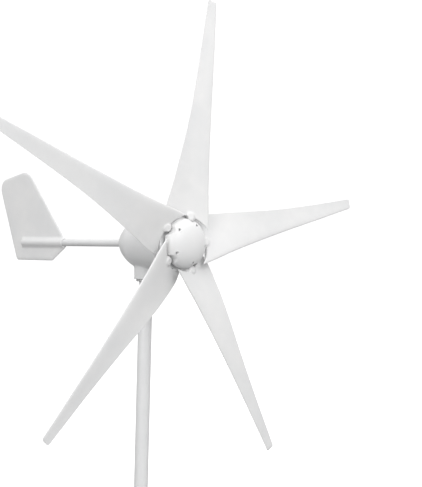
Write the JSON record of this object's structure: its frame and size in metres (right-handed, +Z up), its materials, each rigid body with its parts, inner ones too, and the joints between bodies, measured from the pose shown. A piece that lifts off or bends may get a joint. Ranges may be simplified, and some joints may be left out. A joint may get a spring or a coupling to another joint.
{
  "type": "small wind turbine",
  "caption": "Small horizontal-axis wind turbine with fixed twisted blades, a domed nose, a tail vane, and a free-yawing nacelle on a flanged mast.",
  "frame": {"origin": "centre of the mast foot's underside, on the yaw axis", "axes": "+Z up along the mast and the yaw axis; -Y towards the nose cone, +Y towards the tail vane"},
  "size_m": [1.2458, 0.9256, 1.6526],
  "materials": {
    "white_plastic": "smooth moulded, soft gloss",
    "white_paint": "smooth powder coat",
    "steel": "machined",
    "fasteners": "zinc plated",
    "laminations": "stacked electrical steel",
    "winding_copper": "enamelled copper wire",
    "magnet_nickel": "nickel plated",
    "rubber": "matt",
    "black_plastic": "moulded",
    "ring_brass": "turned",
    "carbon": "pressed carbon"
  },
  "bodies": {
    "mast": {"mast_foot": "white_paint", "foot_set_screw": "fasteners", "mast_tube": "white_paint", "cable_grommet": "rubber", "yaw_shaft": "steel", "mast_set_screw_1": "fasteners", "mast_set_screw_2": "fasteners", "yaw_bearing_lower_inner": "steel", "yaw_bearing_upper_inner": "steel", "slip_ring_sleeve": "black_plastic", "slip_ring_1": "ring_brass", "slip_ring_2": "ring_brass", "slip_ring_3": "ring_brass"},
    "nacelle": {"nacelle_shell": "white_paint", "front_cover": "white_paint", "cover_screw_1": "fasteners", "cover_screw_2": "fasteners", "cover_screw_3": "fasteners", "cover_screw_4": "fasteners", "front_bearing_outer": "steel", "rear_bearing_outer": "steel", "shaft_seal": "rubber", "stator_core": "laminations", "stator_winding": "winding_copper", "stator_leads": "black_plastic", "brush_holder": "black_plastic", "brush_1": "carbon", "brush_2": "carbon", "brush_3": "carbon", "yaw_bearing_lower_outer": "steel", "yaw_bearing_upper_outer": "steel", "yaw_seal": "rubber", "tail_boom": "white_paint", "boom_set_screw": "fasteners", "tail_vane": "white_plastic", "vane_screw_1": "fasteners", "vane_screw_2": "fasteners"},
    "rotor": {"hub": "white_paint", "nose_cone": "white_plastic", "nose_screw_1": "fasteners", "nose_screw_2": "fasteners", "nose_screw_3": "fasteners", "nose_screw_4": "fasteners", "nose_screw_5": "fasteners", "blade_1": "white_plastic", "blade_2": "white_plastic", "blade_3": "white_plastic", "blade_4": "white_plastic", "blade_5": "white_plastic", "blade_clamp_1": "steel", "blade_clamp_2": "steel", "blade_clamp_3": "steel", "blade_clamp_4": "steel", "blade_clamp_5": "steel", "main_shaft": "steel", "hub_nut": "steel", "rotor_core": "laminations", "magnet_ring": "magnet_nickel", "front_bearing_inner": "steel", "rear_bearing_inner": "steel"}
  },
  "joints": [
    {"name": "yaw", "type": "hinge", "parent": "mast", "child": "nacelle", "pos_m": [0, 0, 0.93], "axis": [0, 0, 1], "continuous": true},
    {"name": "rotor_spin", "type": "hinge", "parent": "nacelle", "child": "rotor", "pos_m": [0, -0.169, 1], "axis": [0, 1, 0], "continuous": true}
  ]
}
